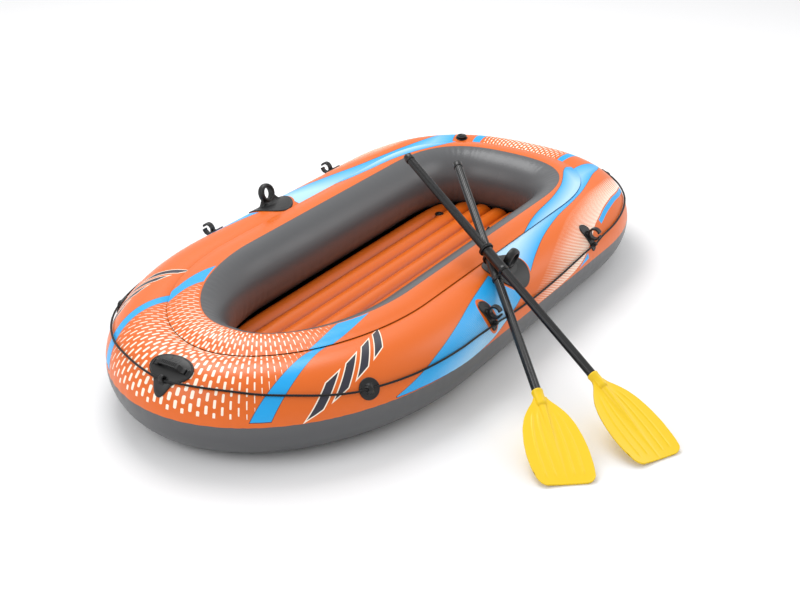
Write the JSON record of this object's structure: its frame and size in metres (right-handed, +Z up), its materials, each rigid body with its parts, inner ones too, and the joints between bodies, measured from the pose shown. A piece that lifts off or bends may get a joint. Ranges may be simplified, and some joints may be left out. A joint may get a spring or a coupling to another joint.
{
  "type": "inflatable rowing raft",
  "caption": "Inflatable rowing raft with twin air tubes, ribbed air floor, grab rope, oarlocks, oar clips and a pair of two-piece oars.",
  "frame": {"origin": "on the ground, under the middle of the hull's length and width", "axes": "+X to the bow, +Y to port, +Z up"},
  "size_m": [1.9642, 1.5589, 0.4692],
  "materials": {
    "orange_vinyl": "satin PVC film, printed on the outer tube",
    "grey_vinyl": "satin PVC film",
    "black_vinyl": "soft moulded vinyl, low sheen",
    "black_rope": "twisted polyester cord",
    "black_shaft": "fluted, glossy",
    "black_plastic": "moulded, satin",
    "yellow_plastic": "moulded, satin"
  },
  "bodies": {
    "hull": {"outer_tube": "orange_vinyl", "inner_tube": "grey_vinyl", "floor_cushion": "orange_vinyl", "bottom_sheet": "grey_vinyl", "oarlock_port": "black_vinyl", "oarlock_starboard": "black_vinyl", "oar_clip_port_fore": "black_vinyl", "oar_clip_port_aft": "black_vinyl", "oar_clip_starboard_fore": "black_vinyl", "oar_clip_starboard_aft": "black_vinyl", "rope_holder_port_fore": "black_vinyl", "rope_holder_port_aft": "black_vinyl", "rope_holder_starboard_fore": "black_vinyl", "rope_holder_starboard_aft": "black_vinyl", "bow_handle_pad": "black_vinyl", "bow_handle_grip": "black_vinyl", "grab_rope": "black_rope", "rope_knot": "black_rope", "hull_valve_base": "black_vinyl", "inner_valve_base": "black_vinyl", "floor_valve_base": "black_vinyl"},
    "hull_valve_cap": {"hull_valve_cap": "black_vinyl"},
    "inner_valve_plug": {"inner_valve_plug": "black_vinyl"},
    "floor_valve_plug": {"floor_valve_plug": "black_vinyl"},
    "lower_oar": {"lower_oar_ferrule": "black_plastic", "lower_oar_blade_shaft": "black_shaft", "lower_oar_blade": "yellow_plastic"},
    "lower_oar_handle": {"lower_oar_grip_cap": "black_plastic", "lower_oar_handle_shaft": "black_shaft"},
    "lower_oar_stop": {"lower_oar_stop_ring": "black_plastic"},
    "upper_oar": {"upper_oar_ferrule": "black_plastic", "upper_oar_blade_shaft": "black_shaft", "upper_oar_blade": "yellow_plastic"},
    "upper_oar_handle": {"upper_oar_grip_cap": "black_plastic", "upper_oar_handle_shaft": "black_shaft"},
    "upper_oar_stop": {"upper_oar_stop_ring": "black_plastic"}
  },
  "joints": [
    {"name": "lower_oar_draw", "type": "slide", "parent": "hull", "child": "lower_oar", "axis": [-0.6611, -0.6704, 0.3371], "range_m": [0, 0.2]},
    {"name": "lower_handle_pull", "type": "slide", "parent": "lower_oar", "child": "lower_oar_handle", "axis": [-0.6611, -0.6704, 0.3371], "range_m": [0, 0.045]},
    {"name": "lower_stop_slide", "type": "slide", "parent": "lower_oar_handle", "child": "lower_oar_stop", "axis": [-0.6611, -0.6704, 0.3371], "range_m": [0, 0.12]},
    {"name": "upper_oar_swing", "type": "hinge", "parent": "hull", "child": "upper_oar", "pos_m": [0.088, 0.4225, 0.2846], "axis": [0, 0, 1], "range_deg": [0, 35]},
    {"name": "upper_handle_pull", "type": "slide", "parent": "upper_oar", "child": "upper_oar_handle", "axis": [-0.3399, -0.8584, 0.3843], "range_m": [0, 0.045]},
    {"name": "upper_stop_slide", "type": "slide", "parent": "upper_oar_handle", "child": "upper_oar_stop", "axis": [-0.3399, -0.8584, 0.3843], "range_m": [0, 0.12]},
    {"name": "hull_valve_turn", "type": "hinge", "parent": "hull", "child": "hull_valve_cap", "pos_m": [-0.80457, -0.21607, 0.23336], "axis": [0.0899, 0.0533, 0.9945], "range_deg": [0, 270]},
    {"name": "inner_valve_pull", "type": "slide", "parent": "hull", "child": "inner_valve_plug", "axis": [0, -0.9397, 0.342], "range_m": [0, 0.015]},
    {"name": "floor_valve_pull", "type": "slide", "parent": "hull", "child": "floor_valve_plug", "axis": [0, 0, 1], "range_m": [0, 0.015]}
  ]
}
